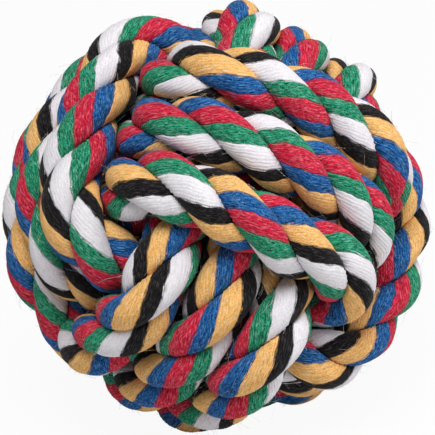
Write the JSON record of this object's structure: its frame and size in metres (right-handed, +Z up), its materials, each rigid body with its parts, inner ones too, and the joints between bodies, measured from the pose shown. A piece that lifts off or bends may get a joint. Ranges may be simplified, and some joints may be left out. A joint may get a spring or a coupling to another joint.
{
  "type": "rope ball dog toy",
  "caption": "Ball of one thick three-strand multicoloured cotton rope, tied tight as a monkey's fist round a core, for a dog to chew, fetch and carry.",
  "frame": {"origin": "bottom centre of the ball's box, on the surface it stands on", "axes": "+Z up, through the corner of the knot opposite the one it stands on; +X towards the middle of one face of the knot, seen from above"},
  "size_m": [0.1124, 0.1098, 0.1077],
  "materials": {
    "cotton_strand_1": "matte laid cotton yarn in six colours, shown here in its white",
    "cotton_strand_2": "matte laid cotton yarn in six colours, shown here in its red",
    "cotton_strand_3": "matte laid cotton yarn in six colours, shown here in its blue",
    "cotton_wad": "matte raw cotton"
  },
  "bodies": {
    "root": {"strand_1": "cotton_strand_1", "strand_2": "cotton_strand_2", "strand_3": "cotton_strand_3", "core_wad": "cotton_wad"}
  },
  "joints": []
}
